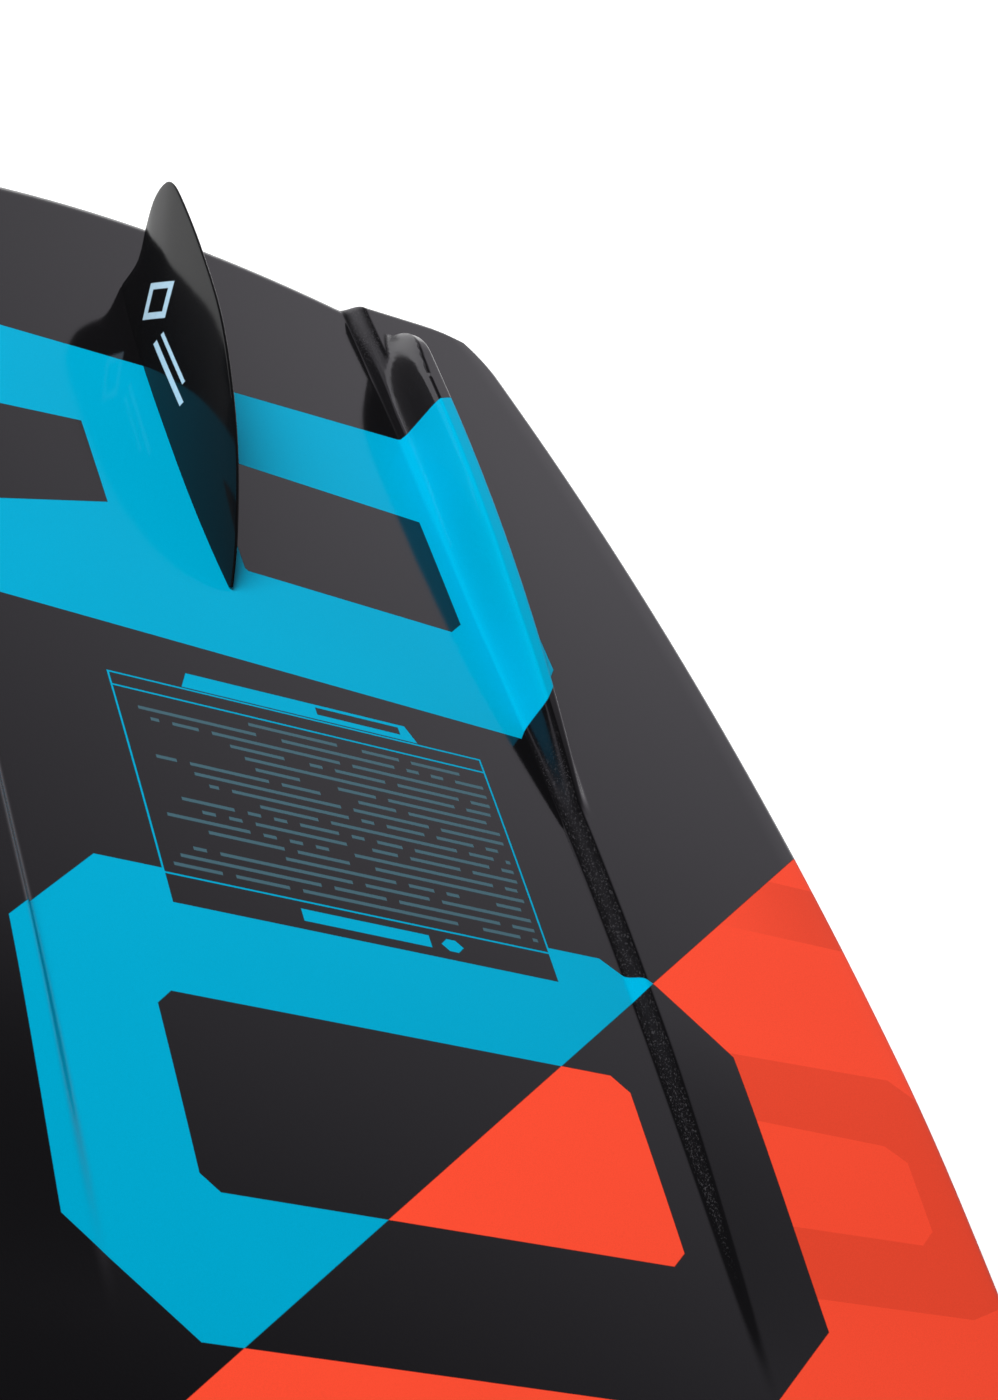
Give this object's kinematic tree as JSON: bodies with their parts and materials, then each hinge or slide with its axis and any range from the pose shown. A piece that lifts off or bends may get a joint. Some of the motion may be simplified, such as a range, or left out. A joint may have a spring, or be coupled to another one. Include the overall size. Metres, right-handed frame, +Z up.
{
  "type": "wakeboard",
  "caption": "Bare twin-tip wakeboard: foam core between two moulded shells, moulded side fins, bolt-on centre fins and threaded binding inserts.",
  "frame": {"origin": "centre of the board's footprint, on the surface that it lies on base up, resting on the deck side of both tips", "axes": "+X along the board to the nose tip, +Y across to the left rail, +Z up, out of the base"},
  "size_m": [1.383, 0.4466, 0.0726],
  "materials": {
    "printed_base": "satin black moulded base sheet, printed in cyan blue and orange",
    "deck": "satin charcoal deck sheet with a fine grain",
    "foam": "pale closed-cell foam",
    "insert_block": "dense tan foam board",
    "insert_steel": "machined stainless steel",
    "fin_plastic": "gloss black moulded plastic",
    "screw_steel": "stainless steel",
    "sleeve_plastic": "dark nylon",
    "fin_brass": "machined brass"
  },
  "bodies": {
    "root": {"base_shell": "printed_base", "deck_shell": "deck", "foam_core": "foam", "insert_block_nose_left": "insert_block", "binding_insert_nose_left_1": "insert_steel", "binding_insert_nose_left_2": "insert_steel", "binding_insert_nose_left_3": "insert_steel", "binding_insert_nose_left_4": "insert_steel", "binding_insert_nose_left_5": "insert_steel", "binding_insert_nose_left_6": "insert_steel", "insert_block_nose_right": "insert_block", "binding_insert_nose_right_1": "insert_steel", "binding_insert_nose_right_2": "insert_steel", "binding_insert_nose_right_3": "insert_steel", "binding_insert_nose_right_4": "insert_steel", "binding_insert_nose_right_5": "insert_steel", "binding_insert_nose_right_6": "insert_steel", "insert_block_tail_left": "insert_block", "binding_insert_tail_left_1": "insert_steel", "binding_insert_tail_left_2": "insert_steel", "binding_insert_tail_left_3": "insert_steel", "binding_insert_tail_left_4": "insert_steel", "binding_insert_tail_left_5": "insert_steel", "binding_insert_tail_left_6": "insert_steel", "insert_block_tail_right": "insert_block", "binding_insert_tail_right_1": "insert_steel", "binding_insert_tail_right_2": "insert_steel", "binding_insert_tail_right_3": "insert_steel", "binding_insert_tail_right_4": "insert_steel", "binding_insert_tail_right_5": "insert_steel", "binding_insert_tail_right_6": "insert_steel", "centre_fin_nose": "fin_plastic", "centre_fin_tail": "fin_plastic", "fin_screw_nose_1": "screw_steel", "fin_washer_nose_1": "screw_steel", "fin_sleeve_nose_1": "sleeve_plastic", "fin_nut_nose_1": "fin_brass", "fin_screw_nose_2": "screw_steel", "fin_washer_nose_2": "screw_steel", "fin_sleeve_nose_2": "sleeve_plastic", "fin_nut_nose_2": "fin_brass", "fin_screw_tail_1": "screw_steel", "fin_washer_tail_1": "screw_steel", "fin_sleeve_tail_1": "sleeve_plastic", "fin_nut_tail_1": "fin_brass", "fin_screw_tail_2": "screw_steel", "fin_washer_tail_2": "screw_steel", "fin_sleeve_tail_2": "sleeve_plastic", "fin_nut_tail_2": "fin_brass"}
  },
  "joints": []
}
